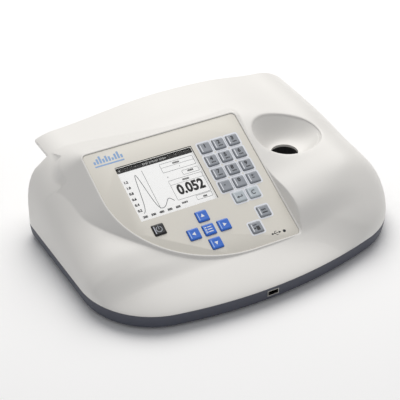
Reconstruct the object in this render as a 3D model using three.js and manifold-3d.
// Compact bench spectrophotometer: a white casing with a raised control panel and a
// sample dish, on a dark base tray that carries the optics and the electronics.
// Millimetres. +X is the user's right, -Y is the front, +Z is up.
// Origin: on the bench, under the middle of the casing.
import * as THREE from 'three';
import { mergeVertices } from 'three/addons/utils/BufferGeometryUtils.js';
import Module from 'manifold-3d';

const wasm = await Module();
wasm.setup();

// ---- driving dimensions -------------------------------------------------------------
const WIDTH = 390;              // over the casing
const DEPTH = 290;              // front apex to rear edge of the hood
const RIM_Z = 20;               // top of the base tray
const FOOT_HEIGHT = 3;
const WALL = 3;                 // moulded wall thickness
const GAP = 0.3;                // clearance between touching pieces
const FRONT_BOW = 0.001;        // front edge bows out by this times distance squared
const BOW_CENTRE_X = -24;
const CORNER_R = 88;            // front corners, seen from above
const REAR_CORNER_R = 20;
const SHOULDER = 60;            // width over which the casing rolls down to its rim
const SHOULDER_POWER = 0.385;   // how boxy the roll is where the crown is high
const APRON_POWER = 0.8;        // and over the low front apron
const APRON_CROWN = 36;
const SHOULDER_CROWN = 50;

const REAR_WALL_Y = 108;        // connector wall under the rear hood
const HOOD_LEFT_X = -160;
const BAY_RIGHT_X = 120;        // the bay under the hood ends here
const HOOD_SKIN = 4;

const PANEL_TILT = 26.6;        // degrees, front edge lower
const PANEL_X = -62;            // middle of the display, on the panel face
const PANEL_Y = 3.3;
const PANEL_Z = 86.3;
const PANEL_LEFT = -77.5;       // panel edges, measured from the middle of the display
const PANEL_RIGHT = 118;
const PANEL_TOP = 62;
const PANEL_BOTTOM = -108.5;
const PANEL_SWEEP_U = 60;       // centre of the elliptical lower left edge
const PANEL_SWEEP_V = 5;
const PANEL_THICK = 2;
const LIP_WIDTH = 2.2;
const LIP_HEIGHT = 0.8;
const CONSOLE_FLARE = 1;        // the console's walls lean out 1 in 1

const DISPLAY_W = 96;
const DISPLAY_H = 72;
const KEY_W = 14;
const KEY_H = 13.4;
const KEY_PITCH_U = 18.2;
const KEY_PITCH_V = 17.9;
const KEY_RISE = 1.6;
const KEY_CLEARANCE = 0.4;

const DISH_X = 106.2;           // middle of the oval dish
const DISH_Y = 19.6;
const DISH_LONG = 41;           // half its length, along its own axis
const DISH_SHORT = 32.3;
const DISH_TURN = -22;          // degrees from the casing's long direction
const WELL_X = 96.4;            // middle of the well, in the dish's floor
const WELL_Y = 7.8;
const WELL_R = 16;
const WELL_Z = 76;
const BEAM_Z = 38;              // optical axis above the bench

const FRONT_Y = -DEPTH / 2;
const REAR_Y = DEPTH / 2;
const HALF_W = WIDTH / 2;
const HULL_REAR_Y = REAR_Y + 55;  // the roof surface runs on past the rear and is cut there

// Crown of the casing: roof height at stations from front to rear, read across the
// left shoulder, the middle, the inner right and the outer right.
const STATION_X = [-150, -20, 66, 145];
const STATIONS = [
  { y: -145, z: [33, 32, 32, 42] },
  { y: -97, z: [37, 36.5, 40, 60] },
  { y: -75, z: [47, 45, 60, 71.5] },
  { y: -52, z: [56.5, 55, 70, 82] },
  { y: -22, z: [63, 64, 77, 87] },
  { y: 8, z: [71, 79, 89, 90] },
  { y: 36, z: [83, 96, 101.5, 95] },
  { y: 62, z: [93, 111, 109.5, 98.5] },
  { y: 105, z: [100, 112, 110.5, 100.5] },
  { y: 200, z: [100, 112, 110.5, 101.5] },
];

// ---- solids from three.js geometry ----------------------------------------------------
function toSolid(geometry) {
  const bare = geometry.clone();
  bare.deleteAttribute('normal');
  bare.deleteAttribute('uv');
  const welded = mergeVertices(bare, 1e-4);
  return new wasm.Manifold(new wasm.Mesh({
    numProp: 3,
    vertProperties: new Float32Array(welded.attributes.position.array),
    triVerts: new Uint32Array(welded.index.array),
  }));
}

function toGeometry(solid) {
  const mesh = solid.getMesh();
  const geometry = new THREE.BufferGeometry();
  geometry.setAttribute('position', new THREE.BufferAttribute(mesh.vertProperties, 3));
  geometry.setIndex(new THREE.BufferAttribute(mesh.triVerts, 1));
  geometry.computeVertexNormals();
  return geometry;
}

// A closed body through a stack of rings with equal point counts, capped by fans.
function loft(rings, firstCap, lastCap) {
  const count = rings[0].length;
  const points = rings.flat();
  const first = points.push(firstCap ?? middleOf(rings[0])) - 1;
  const last = points.push(lastCap ?? middleOf(rings.at(-1))) - 1;
  const index = [];
  for (let i = 0; i < count; i += 1) {
    const j = (i + 1) % count;
    for (let ring = 0; ring < rings.length - 1; ring += 1) {
      const low = ring * count;
      const high = low + count;
      index.push(low + i, low + j, high + j, low + i, high + j, high + i);
    }
    const top = (rings.length - 1) * count;
    index.push(first, j, i, last, top + i, top + j);
  }
  const geometry = new THREE.BufferGeometry().setFromPoints(points);
  geometry.setIndex(index);
  return toSolid(geometry);
}

function middleOf(ring) {
  const sum = ring.reduce((total, p) => total.add(p), new THREE.Vector3());
  return sum.divideScalar(ring.length);
}

function prism(outline, z0, z1) {
  const shape = new THREE.Shape(outline);
  const geometry = new THREE.ExtrudeGeometry(shape, { depth: z1 - z0, bevelEnabled: false });
  return toSolid(geometry.translate(0, 0, z0));
}

function box(x0, x1, y0, y1, z0, z1) {
  const geometry = new THREE.BoxGeometry(x1 - x0, y1 - y0, z1 - z0);
  return toSolid(geometry.translate((x0 + x1) / 2, (y0 + y1) / 2, (z0 + z1) / 2));
}

function rod(radius, z0, z1, x = 0, y = 0, sides = 24) {
  const geometry = new THREE.CylinderGeometry(radius, radius, z1 - z0, sides);
  return toSolid(geometry.rotateX(Math.PI / 2).translate(x, y, (z0 + z1) / 2));
}

// ---- plan outline and roof surface ----------------------------------------------------
const frontY = (x, inset) => FRONT_Y + inset + FRONT_BOW * (x - BOW_CENTRE_X) ** 2;

function arc(cx, cy, r, from, to, steps) {
  return Array.from({ length: steps + 1 }, (_, i) => {
    const angle = THREE.MathUtils.degToRad(from + ((to - from) * i) / steps);
    return new THREE.Vector2(cx + r * Math.cos(angle), cy + r * Math.sin(angle));
  });
}

function line(x0, y0, x1, y1, steps) {
  return Array.from({ length: steps }, (_, i) => {
    const t = i / steps;
    return new THREE.Vector2(x0 + (x1 - x0) * t, y0 + (y1 - y0) * t);
  });
}

// Corner centre such that an arc of radius r meets the side and the bowed front.
function cornerCentre(side, inset) {
  const r = CORNER_R - inset;
  const x = side * (HALF_W - CORNER_R);
  const slope = 2 * FRONT_BOW * (x - BOW_CENTRE_X);
  const length = Math.hypot(slope, 1);
  const touchX = x + (r * slope) / length;
  return { x, y: frontY(touchX, inset) + r / length, r, touchX };
}

// Left side, front and right side of the casing, anticlockwise from the rear left.
function sideOutline(inset = 0, rearY = HULL_REAR_Y) {
  const left = cornerCentre(-1, inset);
  const right = cornerCentre(1, inset);
  const leftTurn = THREE.MathUtils.radToDeg(Math.acos((left.touchX - left.x) / left.r));
  const rightTurn = THREE.MathUtils.radToDeg(Math.acos((right.touchX - right.x) / right.r));
  const frontSteps = 9;
  const front = line(left.touchX, 0, right.touchX, 0, frontSteps).slice(1);
  front.forEach((p) => p.setY(frontY(p.x, inset)));
  return [
    ...line(-HALF_W + inset, rearY, -HALF_W + inset, left.y, 8),
    ...arc(left.x, left.y, left.r, 180, 360 - leftTurn, 9),
    ...front,
    ...arc(right.x, right.y, right.r, -rightTurn, 0, 9),
    ...line(HALF_W - inset, rearY, HALF_W - inset, right.y, 8).reverse(),
  ];
}

const EDGE = sideOutline();

function distanceToEdge(x, y) {
  let nearest = Infinity;
  for (let i = 0; i < EDGE.length - 1; i += 1) {
    const a = EDGE[i];
    const b = EDGE[i + 1];
    const dx = b.x - a.x;
    const dy = b.y - a.y;
    const along = ((x - a.x) * dx + (y - a.y) * dy) / (dx * dx + dy * dy);
    const t = THREE.MathUtils.clamp(along, 0, 1);
    nearest = Math.min(nearest, Math.hypot(x - a.x - dx * t, y - a.y - dy * t));
  }
  return nearest;
}

// Smooth curve through (at[i], value[i]), level beyond both ends.
function smoothThrough(at, value, x) {
  const last = at.length - 1;
  const clamped = THREE.MathUtils.clamp(x, at[0], at[last]);
  const i = Math.min(at.findLastIndex((a) => a <= clamped), last - 1);
  const slope = (k) => {
    if (k === 0 || k === last) return 0;
    return (value[k + 1] - value[k - 1]) / (at[k + 1] - at[k - 1]);
  };
  const h = at[i + 1] - at[i];
  const t = (clamped - at[i]) / h;
  const t2 = t * t;
  const t3 = t2 * t;
  return value[i] * (2 * t3 - 3 * t2 + 1) + value[i + 1] * (3 * t2 - 2 * t3)
    + h * slope(i) * (t3 - 2 * t2 + t) + h * slope(i + 1) * (t3 - t2);
}

function crown(x, y) {
  const depths = STATIONS.map((station) => station.y);
  const across = STATION_X.map((_, k) => (
    smoothThrough(depths, STATIONS.map((station) => station.z[k]), y)));
  return smoothThrough(STATION_X, across, x);
}

function roofZ(x, y) {
  const t = Math.min(distanceToEdge(x, y) / SHOULDER, 1);
  const height = crown(x, y);
  const high = THREE.MathUtils.clamp((height - APRON_CROWN) / (SHOULDER_CROWN - APRON_CROWN), 0, 1);
  const power = THREE.MathUtils.lerp(APRON_POWER, SHOULDER_POWER, high);
  return RIM_Z + (height - RIM_Z) * (1 - (1 - t) ** 2) ** power;
}

// Everything under the roof, inset from the rim and lowered by drop.
function underRoof(inset, drop, floorZ) {
  const hub = new THREE.Vector2(0, 20);
  const rim = [
    ...sideOutline(inset),
    ...line(HALF_W - inset, HULL_REAR_Y, -HALF_W + inset, HULL_REAR_Y, 12).slice(1),
  ];
  const scales = [0.994, 0.98, 0.955, 0.92, 0.87, 0.81, 0.73, 0.63, 0.51, 0.38, 0.24, 0.1];
  const atZ = (z) => rim.map((p) => new THREE.Vector3(p.x, p.y, z));
  const rings = [atZ(floorZ), atZ(RIM_Z + GAP + 0.5)];
  for (const scale of scales) {
    rings.push(rim.map((p) => {
      const x = hub.x + (p.x - hub.x) * scale;
      const y = hub.y + (p.y - hub.y) * scale;
      return new THREE.Vector3(x, y, roofZ(x, y) - drop);
    }));
  }
  const peak = new THREE.Vector3(hub.x, hub.y, roofZ(hub.x, hub.y) - drop);
  return loft(rings, undefined, peak);
}

// Footprint: the body stops at the connector wall, and runs to the rear on the right.
function footprint(inset) {
  const r = REAR_CORNER_R - inset;
  const leftX = -HALF_W + REAR_CORNER_R;
  const rightX = HALF_W - REAR_CORNER_R;
  return [
    new THREE.Vector2(-HALF_W + inset, 2 * FRONT_Y),
    new THREE.Vector2(HALF_W - inset, 2 * FRONT_Y),
    ...arc(rightX, REAR_Y - REAR_CORNER_R, r, 0, 90, 4),
    new THREE.Vector2(BAY_RIGHT_X + inset, REAR_Y - inset),
    new THREE.Vector2(BAY_RIGHT_X + inset, REAR_WALL_Y - inset),
    ...arc(leftX, REAR_WALL_Y - REAR_CORNER_R, r, 90, 180, 4),
  ];
}

// ---- control panel frame -----------------------------------------------------------------
const panelFrame = new THREE.Matrix4().makeTranslation(PANEL_X, PANEL_Y, PANEL_Z);
panelFrame.multiply(new THREE.Matrix4().makeRotationX(THREE.MathUtils.degToRad(PANEL_TILT)));

const onPanel = (solid) => solid.transform(panelFrame.toArray());

// Edge of the panel grown by offset: straight top and right, elliptical lower left.
function panelOutline(offset) {
  const cornerR = 5 + Math.max(offset, -4);
  const left = PANEL_LEFT - offset;
  const right = PANEL_RIGHT + offset;
  const top = PANEL_TOP + offset;
  const bottom = PANEL_BOTTOM - offset;
  const steps = 14;
  const sweep = Array.from({ length: steps + 1 }, (_, i) => {
    const angle = Math.PI + (Math.PI / 2) * (i / steps);
    return new THREE.Vector2(
      PANEL_SWEEP_U + (PANEL_SWEEP_U - left) * Math.cos(angle),
      PANEL_SWEEP_V + (PANEL_SWEEP_V - bottom) * Math.sin(angle),
    );
  });
  return [
    ...sweep,
    ...arc(right - cornerR, bottom + cornerR, cornerR, -90, 0, 3),
    ...arc(right - cornerR, top - cornerR, cornerR, 0, 90, 3),
    ...arc(left + cornerR, top - cornerR, cornerR, 90, 180, 3),
  ];
}

function panelPrism(offset, w0, w1) {
  return prism(panelOutline(offset), w0, w1);
}

function panelFrustum(levels) {
  return loft(levels.map(([offset, w]) => (
    panelOutline(offset).map((p) => new THREE.Vector3(p.x, p.y, w)))));
}

const rect = (u, v, width, height) => [
  new THREE.Vector2(u - width / 2, v - height / 2),
  new THREE.Vector2(u + width / 2, v - height / 2),
  new THREE.Vector2(u + width / 2, v + height / 2),
  new THREE.Vector2(u - width / 2, v + height / 2),
];

// ---- keys ------------------------------------------------------------------------------------
const GREY_KEY = 0x969ba2;
const PALE_KEY = 0xb9c3c8;
const BLUE_KEY = 0x3c6ec8;
const BLACK_KEY = 0x14141e;
const KEYPAD_U = 63.2;
const KEYPAD_V = 28.2;
const ARROWS_U = 19.6;
const ARROWS_V = -70.4;

function keyPlaces() {
  const keys = [];
  const digitRows = [['1', '2', '3'], ['4', '5', '6'], ['7', '8', '9'], ['point', '0', 'sign']];
  digitRows.forEach((row, r) => row.forEach((label, c) => keys.push({
    name: `key_${label}`,
    u: KEYPAD_U + c * KEY_PITCH_U,
    v: KEYPAD_V - r * KEY_PITCH_V,
    color: GREY_KEY,
  })));
  const pairRowV = KEYPAD_V - 4 * KEY_PITCH_V;
  keys.push({ name: 'key_back', u: KEYPAD_U + KEY_PITCH_U / 2, v: pairRowV, color: PALE_KEY });
  keys.push({ name: 'key_clear', u: KEYPAD_U + 1.5 * KEY_PITCH_U, v: pairRowV, color: PALE_KEY });
  keys.push({ name: 'key_view', u: KEYPAD_U + 1.5 * KEY_PITCH_U, v: -69.4, color: GREY_KEY });
  keys.push({ name: 'key_print', u: KEYPAD_U + KEY_PITCH_U / 2, v: -85.7, color: GREY_KEY });
  const arrows = { menu: [0, 0], up: [0, 1], down: [0, -1], left: [-1, 0], right: [1, 0] };
  for (const [label, [du, dv]] of Object.entries(arrows)) {
    keys.push({
      name: `key_${label}`,
      u: ARROWS_U + du * 19,
      v: ARROWS_V + dv * 18,
      color: BLUE_KEY,
    });
  }
  keys.push({ name: 'key_power', u: -34.3, v: -51.9, color: BLACK_KEY });
  return keys;
}

const KEYS = keyPlaces();

// Keycap: crown with a bevelled top, above a flange that keeps it behind the panel.
function keycap(u, v) {
  const bevel = 0.6;
  const flangeW = -PANEL_THICK - GAP;
  const levels = [
    [0.8, flangeW - 1],
    [0.8, flangeW],
    [0, flangeW],
    [0, KEY_RISE - bevel],
    [-bevel, KEY_RISE],
  ];
  return loft(levels.map(([grow, w]) => (
    rect(u, v, KEY_W + 2 * grow, KEY_H + 2 * grow).map((p) => new THREE.Vector3(p.x, p.y, w)))));
}

// ---- sample dish ---------------------------------------------------------------------------
// Scoop from the oval rim on the roof down to the well hole, grown and lowered by skin.
function dishSolid(skin) {
  const steps = 32;
  const levels = 8;
  const turn = THREE.MathUtils.degToRad(DISH_TURN);
  const middle = new THREE.Vector2(DISH_X, DISH_Y);
  const ring = (s, lift) => Array.from({ length: steps }, (_, i) => {
    const angle = (2 * Math.PI * i) / steps;
    const across = (DISH_LONG + skin) * Math.cos(angle);
    const along = (DISH_SHORT + skin) * Math.sin(angle);
    const rim = new THREE.Vector2(across, along).rotateAround(new THREE.Vector2(), turn).add(middle);
    const rimZ = roofZ(rim.x, rim.y);
    const wellX = WELL_X + (WELL_R + skin) * Math.cos(angle + turn);
    const wellY = WELL_Y + (WELL_R + skin) * Math.sin(angle + turn);
    const fall = Math.sin((s * Math.PI) / 2);
    return new THREE.Vector3(
      THREE.MathUtils.lerp(rim.x, wellX, s),
      THREE.MathUtils.lerp(rim.y, wellY, s),
      THREE.MathUtils.lerp(rimZ, WELL_Z, fall) - skin + lift,
    );
  });
  const rings = [];
  for (let k = levels; k >= 0; k -= 1) rings.push(ring(k / levels, 0));
  rings.push(ring(0, 40));
  return loft(rings);
}

// ---- casing ---------------------------------------------------------------------------------
const BOSSES = [[-150, 60], [-140, -75], [150, 75], [140, -75]];
const BOSS_R = 5;
const PILOT_R = 1.5;            // screw hole in the casing's bosses
const SCREW_CLEARANCE_R = 1.8;
const SCREW_HEAD_R = 3.2;
const HEAD_POCKET_R = 3.6;
const TALL = [0, 300];          // height of upright cutting shapes
const ABOVE_RIM = [-HALF_W, HALF_W, 2 * FRONT_Y, REAR_Y, 30, 300];

function topCasing() {
  const roof = underRoof(0, 0, RIM_Z + GAP);
  const body = roof.intersect(prism(footprint(0), ...TALL));
  const hoodPlan = prism([
    new THREE.Vector2(HOOD_LEFT_X, REAR_WALL_Y - 30),
    new THREE.Vector2(HALF_W, REAR_WALL_Y - 30),
    ...arc(HALF_W - REAR_CORNER_R, REAR_Y - REAR_CORNER_R, REAR_CORNER_R, 0, 90, 4),
    new THREE.Vector2(HOOD_LEFT_X, REAR_Y),
  ], ...TALL);
  const hood = roof.subtract(underRoof(0, HOOD_SKIN, RIM_Z - 10)).intersect(hoodPlan);
  const console = onPanel(panelFrustum([
    [LIP_WIDTH + 34 * CONSOLE_FLARE, -34],
    [LIP_WIDTH + CONSOLE_FLARE * 0.6, LIP_HEIGHT - 1.2],
    [LIP_WIDTH, LIP_HEIGHT],
  ])).intersect(prism(footprint(0), ...TALL)).intersect(box(...ABOVE_RIM));
  const outer = body.add(hood).add(console);

  const roofInside = underRoof(WALL, WALL, RIM_Z - 5);
  const consoleInside = onPanel(panelFrustum([
    [LIP_WIDTH - WALL + 32 * CONSOLE_FLARE, -36],
    [LIP_WIDTH - WALL, -PANEL_THICK - GAP - 2],
  ])).intersect(box(...ABOVE_RIM));
  // The roof to the right of the panel is cut back by a leaning wall.
  const cutBack = (skin) => onPanel(panelFrustum([
    [LIP_WIDTH + skin, LIP_HEIGHT - skin],
    [LIP_WIDTH + 14 + skin, LIP_HEIGHT + 30],
  ]));
  const hollow = roofInside.add(consoleInside).subtract(cutBack(WALL));
  const inside = hollow.intersect(prism(footprint(WALL), ...TALL));
  let shell = outer.subtract(inside).subtract(cutBack(0));
  // Recess for the panel, and the opening behind it.
  shell = shell.subtract(onPanel(panelPrism(GAP, -PANEL_THICK - GAP, 10)));
  shell = shell.subtract(onPanel(panelPrism(-4, -9, 0)));

  shell = shell.add(dishSolid(WALL).intersect(outer)).subtract(dishSolid(0));
  shell = shell.subtract(rod(WELL_R, WELL_Z - 10, WELL_Z + 5, WELL_X, WELL_Y, 32));

  for (const [x, y] of BOSSES) {
    const post = rod(BOSS_R, RIM_Z + GAP, 120, x, y, 12).intersect(outer);
    shell = shell.add(post).subtract(rod(PILOT_R, RIM_Z, RIM_Z + 20, x, y, 8));
  }
  const plate = CONNECTOR_PLATE;
  return shell.subtract(box(plate.x0, plate.x1, REAR_WALL_Y - 2 * WALL, REAR_Y, plate.z0, plate.z1));
}

// ---- base tray ---------------------------------------------------------------------------------
const TRAY_DRAFT = 3.5;
const CONNECTOR_PLATE = { x0: -70, x1: 50, z0: 28, z1: 62 };
const USB_X = -9.5;
const USB_Z = 13;
const USB_SLOT_HALF_W = 7.4;
const USB_SLOT_HALF_H = 3.8;
const GROOVE_X = USB_X + 16;    // short moulded groove beside the socket
const GROOVE_HALF_W = 0.8;
const GROOVE_DEPTH = 0.8;

function trayRing(inset, z) {
  return sideOutline(inset).map((p) => new THREE.Vector3(p.x, p.y, z));
}

function baseTray() {
  const outer = loft([
    trayRing(TRAY_DRAFT, FOOT_HEIGHT),
    trayRing(1.2, FOOT_HEIGHT + 7),
    trayRing(0, RIM_Z),
  ]).intersect(prism(footprint(0), 0, 100));
  const inner = loft([
    trayRing(TRAY_DRAFT + WALL, FOOT_HEIGHT + WALL),
    trayRing(WALL, RIM_Z + 1),
  ]).intersect(prism(footprint(WALL), 0, 100));
  let tray = outer.subtract(inner);
  for (const [x, y] of BOSSES) {
    tray = tray.add(rod(BOSS_R, FOOT_HEIGHT + 1, RIM_Z, x, y, 12));
    tray = tray.subtract(rod(SCREW_CLEARANCE_R, 0, RIM_Z + 1, x, y, 8));
    tray = tray.subtract(rod(HEAD_POCKET_R, 0, FOOT_HEIGHT + 4, x, y, 8));
  }
  const slotX = [USB_X - USB_SLOT_HALF_W, USB_X + USB_SLOT_HALF_W];
  const slotZ = [USB_Z - USB_SLOT_HALF_H, USB_Z + USB_SLOT_HALF_H];
  tray = tray.subtract(box(...slotX, FRONT_Y - 5, FRONT_Y + 25, ...slotZ));
  const grooveX = [GROOVE_X - GROOVE_HALF_W, GROOVE_X + GROOVE_HALF_W];
  return tray.subtract(box(...grooveX, FRONT_Y - 5, FRONT_Y + GROOVE_DEPTH, FOOT_HEIGHT + 1, RIM_Z + 1));
}

// ---- front panel pieces -------------------------------------------------------------------
const STATUS_U = 101.4;
const STATUS_V = -100;
const STATUS_R = 1.6;

function plate(u, v, width, height, w0, w1) {
  return prism(rect(u, v, width, height), w0, w1);
}

function controlPanel() {
  let panel = panelPrism(0, -PANEL_THICK, 0);
  for (const key of KEYS) {
    const holeW = KEY_W + 2 * KEY_CLEARANCE;
    const holeH = KEY_H + 2 * KEY_CLEARANCE;
    panel = panel.subtract(plate(key.u, key.v, holeW, holeH, -5, 1));
  }
  panel = panel.subtract(plate(0, 0, DISPLAY_W + 1, DISPLAY_H + 1, -5, 1));
  panel = panel.subtract(rod(STATUS_R + GAP, -5, 1, STATUS_U, STATUS_V, 16));
  return onPanel(panel);
}

// Stepped sheet that lies under every key.
function keySheet(w0, w1) {
  const corners = [
    [-44, -60], [-8, -60], [-8, -80], [10, -80], [10, -96], [110, -96],
    [110, 37], [55.2, 37], [55.2, -43.8], [-44, -43.8],
  ];
  return onPanel(prism(corners.map(([u, v]) => new THREE.Vector2(u, v)), w0, w1));
}

// ---- optics ---------------------------------------------------------------------------------
const BENCH_TOP_Z = 14;
const REST_Z = BENCH_TOP_Z + GAP;

function alongX(radius, x0, x1, y, z, sides = 20) {
  const geometry = new THREE.CylinderGeometry(radius, radius, x1 - x0, sides);
  return toSolid(geometry.rotateZ(Math.PI / 2).translate((x0 + x1) / 2, y, z));
}

function opticalBench() {
  let bench = box(-50, 180, -33, 50, BENCH_TOP_Z - 5, BENCH_TOP_Z);
  for (const x of [-42, 172]) {
    for (const y of [-25, 42]) {
      bench = bench.add(rod(4, FOOT_HEIGHT + WALL + GAP, BENCH_TOP_Z - 2, x, y, 12));
    }
  }
  return bench;
}

function sampleWell() {
  const top = WELL_Z - WALL - GAP;
  const cup = rod(WELL_R + WALL, REST_Z, top, WELL_X, WELL_Y, 32);
  const bore = rod(WELL_R + 2 * GAP, REST_Z + WALL, top + 1, WELL_X, WELL_Y, 32);
  return cup.subtract(bore).subtract(alongX(4, 60, 150, WELL_Y, BEAM_Z, 12));
}

const CELL = 12.6;              // pocket for a standard 12.5 mm cell
const CELL_FLOOR_Z = BEAM_Z - 15;
const HOLDER_TOP_Z = 57;

function cellHolder() {
  const block = rod(WELL_R, REST_Z + WALL + GAP, HOLDER_TOP_Z, WELL_X, WELL_Y, 32);
  const half = CELL / 2;
  const sides = [WELL_X - half, WELL_X + half, WELL_Y - half, WELL_Y + half];
  const pocket = box(...sides, CELL_FLOOR_Z, 70);
  return block.subtract(pocket).subtract(alongX(3, 70, 140, WELL_Y, BEAM_Z, 12));
}

function lampHousing() {
  const shell = box(146, 174, WELL_Y - 17, WELL_Y + 17, REST_Z, 58);
  const hollow = box(148, 172, WELL_Y - 15, WELL_Y + 15, REST_Z + 2, 60);
  return shell.subtract(hollow).subtract(alongX(5, 140, 150, WELL_Y, BEAM_Z, 12));
}

function lensMount() {
  const block = box(130, 138, WELL_Y - 13, WELL_Y + 13, REST_Z, 52);
  return block.subtract(alongX(9.3, 120, 140, WELL_Y, BEAM_Z));
}

function condenserLens() {
  const profile = [[0, -2.5], [5, -2], [9, -0.8], [9, 0.8], [5, 2], [0, 2.5]];
  const points = profile.map(([r, h]) => new THREE.Vector2(r, h));
  const geometry = new THREE.LatheGeometry(points, 20);
  return toSolid(geometry.rotateZ(Math.PI / 2).translate(134, WELL_Y, BEAM_Z));
}

function entranceSlit() {
  const blade = box(66, 69, WELL_Y - 13, WELL_Y + 13, REST_Z, 54);
  return blade.subtract(box(64, 71, WELL_Y - 0.5, WELL_Y + 0.5, BEAM_Z - 4, BEAM_Z + 4));
}

// ---- boards and sockets ------------------------------------------------------------------------
const BOARD_Z = 9;
const BOARD_THICK = 1.6;
const BOARD_TOP = BOARD_Z + BOARD_THICK;

function board(x0, x1, y0, y1, components) {
  let solid = box(x0, x1, y0, y1, BOARD_Z, BOARD_TOP);
  for (const [x, y, width, depth, height] of components) {
    const halfW = width / 2;
    const halfD = depth / 2;
    const top = BOARD_TOP + height;
    solid = solid.add(box(x - halfW, x + halfW, y - halfD, y + halfD, BOARD_TOP - 0.2, top));
  }
  return solid;
}

// Metal sleeve with a tongue, its mouth facing -Y at the origin.
function usbSocket(width, height, length, tongue) {
  const wall = 0.8;
  const halfW = width / 2;
  const halfH = height / 2;
  const sleeve = box(-halfW, halfW, 0, length, -halfH, halfH);
  const mouth = box(wall - halfW, halfW - wall, -1, length - 2, wall - halfH, halfH - wall);
  const bar = box(2.5 - halfW, halfW - 2.5, 1.5, length - 1, halfH - wall - tongue, halfH);
  return sleeve.subtract(mouth).add(bar);
}

const DC_X = -45;
const REAR_USB_X = 0;
const SOCKET_Z = 45;

function connectorPlate() {
  const { x0, x1, z0, z1 } = CONNECTOR_PLATE;
  const y0 = REAR_WALL_Y - WALL;
  let solid = box(x0 + GAP, x1 - GAP, y0, REAR_WALL_Y - GAP, z0 + GAP, z1 - GAP);
  const hole = new THREE.CylinderGeometry(5.8, 5.8, 20, 20).translate(DC_X, REAR_WALL_Y, SOCKET_Z);
  solid = solid.subtract(toSolid(hole));
  const halfW = 6.4;
  const halfH = 5.9;
  const usb = [REAR_USB_X - halfW, REAR_USB_X + halfW, y0 - 1, REAR_Y];
  return solid.subtract(box(...usb, SOCKET_Z - halfH, SOCKET_Z + halfH));
}

function dcInlet() {
  const alongY = (radius, y0, y1) => {
    const geometry = new THREE.CylinderGeometry(radius, radius, y1 - y0, 20);
    return toSolid(geometry.translate(DC_X, (y0 + y1) / 2, SOCKET_Z));
  };
  const backY = REAR_WALL_Y - 14;
  const plateBack = REAR_WALL_Y - WALL - GAP;
  const body = box(DC_X - 7, DC_X + 7, backY, plateBack, SOCKET_Z - 7, SOCKET_Z + 7);
  const jack = body.add(alongY(5.5, backY, REAR_WALL_Y));
  return jack.subtract(alongY(3.2, backY + 3, REAR_Y)).add(alongY(1, backY + 2, REAR_WALL_Y - 2));
}

function casingScrew(x, y) {
  const head = rod(SCREW_HEAD_R, FOOT_HEIGHT + 0.8, FOOT_HEIGHT + 3.7, x, y, 12);
  const drive = rod(1.4, 0, FOOT_HEIGHT + 2.4, x, y, 6);
  return head.subtract(drive).add(rod(1.2, FOOT_HEIGHT + 3, RIM_Z + 16, x, y, 8));
}

// ---- assembly ------------------------------------------------------------------------------------
const model = new THREE.Group();

function addPiece(name, solid, color, roughness = 0.5, metalness = 0) {
  const material = new THREE.MeshStandardMaterial({ color, roughness, metalness });
  const mesh = new THREE.Mesh(toGeometry(solid), material);
  mesh.name = name;
  model.add(mesh);
}

const WHITE_SHELL = 0xe9e8e4;
const SLATE = 0x444652;
const BEIGE = 0xd6d2c8;
const BLACK = 0x1c1c1e;
const RUBBER = 0x222224;
const GLASS = 0xdfe8ea;
const CIRCUIT = 0x2f6b45;
const SILICONE = 0xb8bcc0;
const ALUMINIUM = 0xb4b7ba;
const STEEL = 0xa9abad;

addPiece('top_casing', topCasing(), WHITE_SHELL, 0.4);
addPiece('base_tray', baseTray(), SLATE, 0.5);

addPiece('control_panel', controlPanel(), BEIGE, 0.55);
const window = plate(0, 0, DISPLAY_W + 0.4, DISPLAY_H + 0.4, -1.6, -0.4);
addPiece('display_window', onPanel(window), GLASS, 0.1);
const display = plate(0, 0, DISPLAY_W + 10, DISPLAY_H + 12, -8.6, -2.6);
addPiece('display_module', onPanel(display), 0xf4f4f2, 0.3);
addPiece('display_board', onPanel(plate(0, 0, 100, 80, -10.6, -9)), CIRCUIT, 0.5);
addPiece('key_mat', keySheet(-5.9, -4.9), SILICONE, 0.7);
addPiece('key_board', keySheet(-7.8, -6.2), CIRCUIT, 0.5);
const statusLamp = rod(STATUS_R, -PANEL_THICK, 0.3, STATUS_U, STATUS_V, 16);
addPiece('status_lamp', onPanel(statusLamp), 0x2c3440, 0.3);
for (const key of KEYS) addPiece(key.name, onPanel(keycap(key.u, key.v)), key.color, 0.5);

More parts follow.
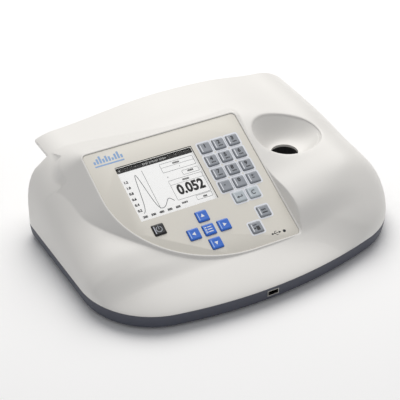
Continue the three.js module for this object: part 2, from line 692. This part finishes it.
addPiece('sample_well', sampleWell(), BLACK, 0.6);
addPiece('cell_holder', cellHolder(), BLACK, 0.5);
addPiece('optical_bench', opticalBench(), ALUMINIUM, 0.5, 0.8);
addPiece('lamp_housing', lampHousing(), BLACK, 0.6, 0.5);
addPiece('flash_lamp', rod(6, REST_Z + 2 + GAP, 50, 160, WELL_Y, 16), GLASS, 0.1);
addPiece('lens_mount', lensMount(), BLACK, 0.5, 0.5);
addPiece('condenser_lens', condenserLens(), GLASS, 0.05);
addPiece('entrance_slit', entranceSlit(), BLACK, 0.4, 0.8);
addPiece('grating_mount', box(-40, -28, WELL_Y - 13, WELL_Y + 13, REST_Z, 56), BLACK, 0.5, 0.5);
const grating = box(-28 + GAP, -24, WELL_Y - 10, WELL_Y + 10, BEAM_Z - 10, BEAM_Z + 10);
addPiece('diffraction_grating', grating, 0xc8ccd4, 0.1, 0.9);
addPiece('detector_board', box(62, 63.6, 24, 48, REST_Z, 52), CIRCUIT, 0.5);
addPiece('detector_array', box(59, 62 - GAP, 26, 46, BEAM_Z - 4, BEAM_Z + 4), BLACK, 0.3);

const mainParts = [[-120, 0, 24, 24, 3], [-160, 20, 14, 30, 8], [-85, -25, 18, 10, 5]];
addPiece('main_board', board(-180, -62, -50, 48, mainParts), CIRCUIT, 0.5);
const powerParts = [[-100, 80, 24, 22, 18], [-65, 82, 12, 12, 20], [-40, 80, 16, 20, 10]];
addPiece('power_board', board(-125, -20, 60, 98, powerParts), CIRCUIT, 0.5);

addPiece('connector_plate', connectorPlate(), SLATE, 0.5);
addPiece('dc_inlet', dcInlet(), BLACK, 0.5);
const rearSocket = usbSocket(12, 11, 16, 3.2).rotate([0, 0, 180]);
addPiece('usb_socket_rear', rearSocket.translate([REAR_USB_X, REAR_WALL_Y, SOCKET_Z]), STEEL, 0.3, 0.9);
const frontSocket = usbSocket(14.2, 7, 18, 1).translate([USB_X, FRONT_Y + 0.8, USB_Z]);
addPiece('usb_socket_front', frontSocket, STEEL, 0.3, 0.9);

const FEET = {
  front_left: [-125, -100],
  front_right: [125, -92],
  rear_left: [-170, 85],
  rear_right: [165, 120],
};
for (const [place, [x, y]] of Object.entries(FEET)) {
  addPiece(`foot_${place}`, rod(8, 0, FOOT_HEIGHT - GAP, x, y, 20), RUBBER, 0.9);
}
BOSSES.forEach(([x, y], i) => addPiece(`casing_screw_${i + 1}`, casingScrew(x, y), STEEL, 0.3, 0.9));

export default model;
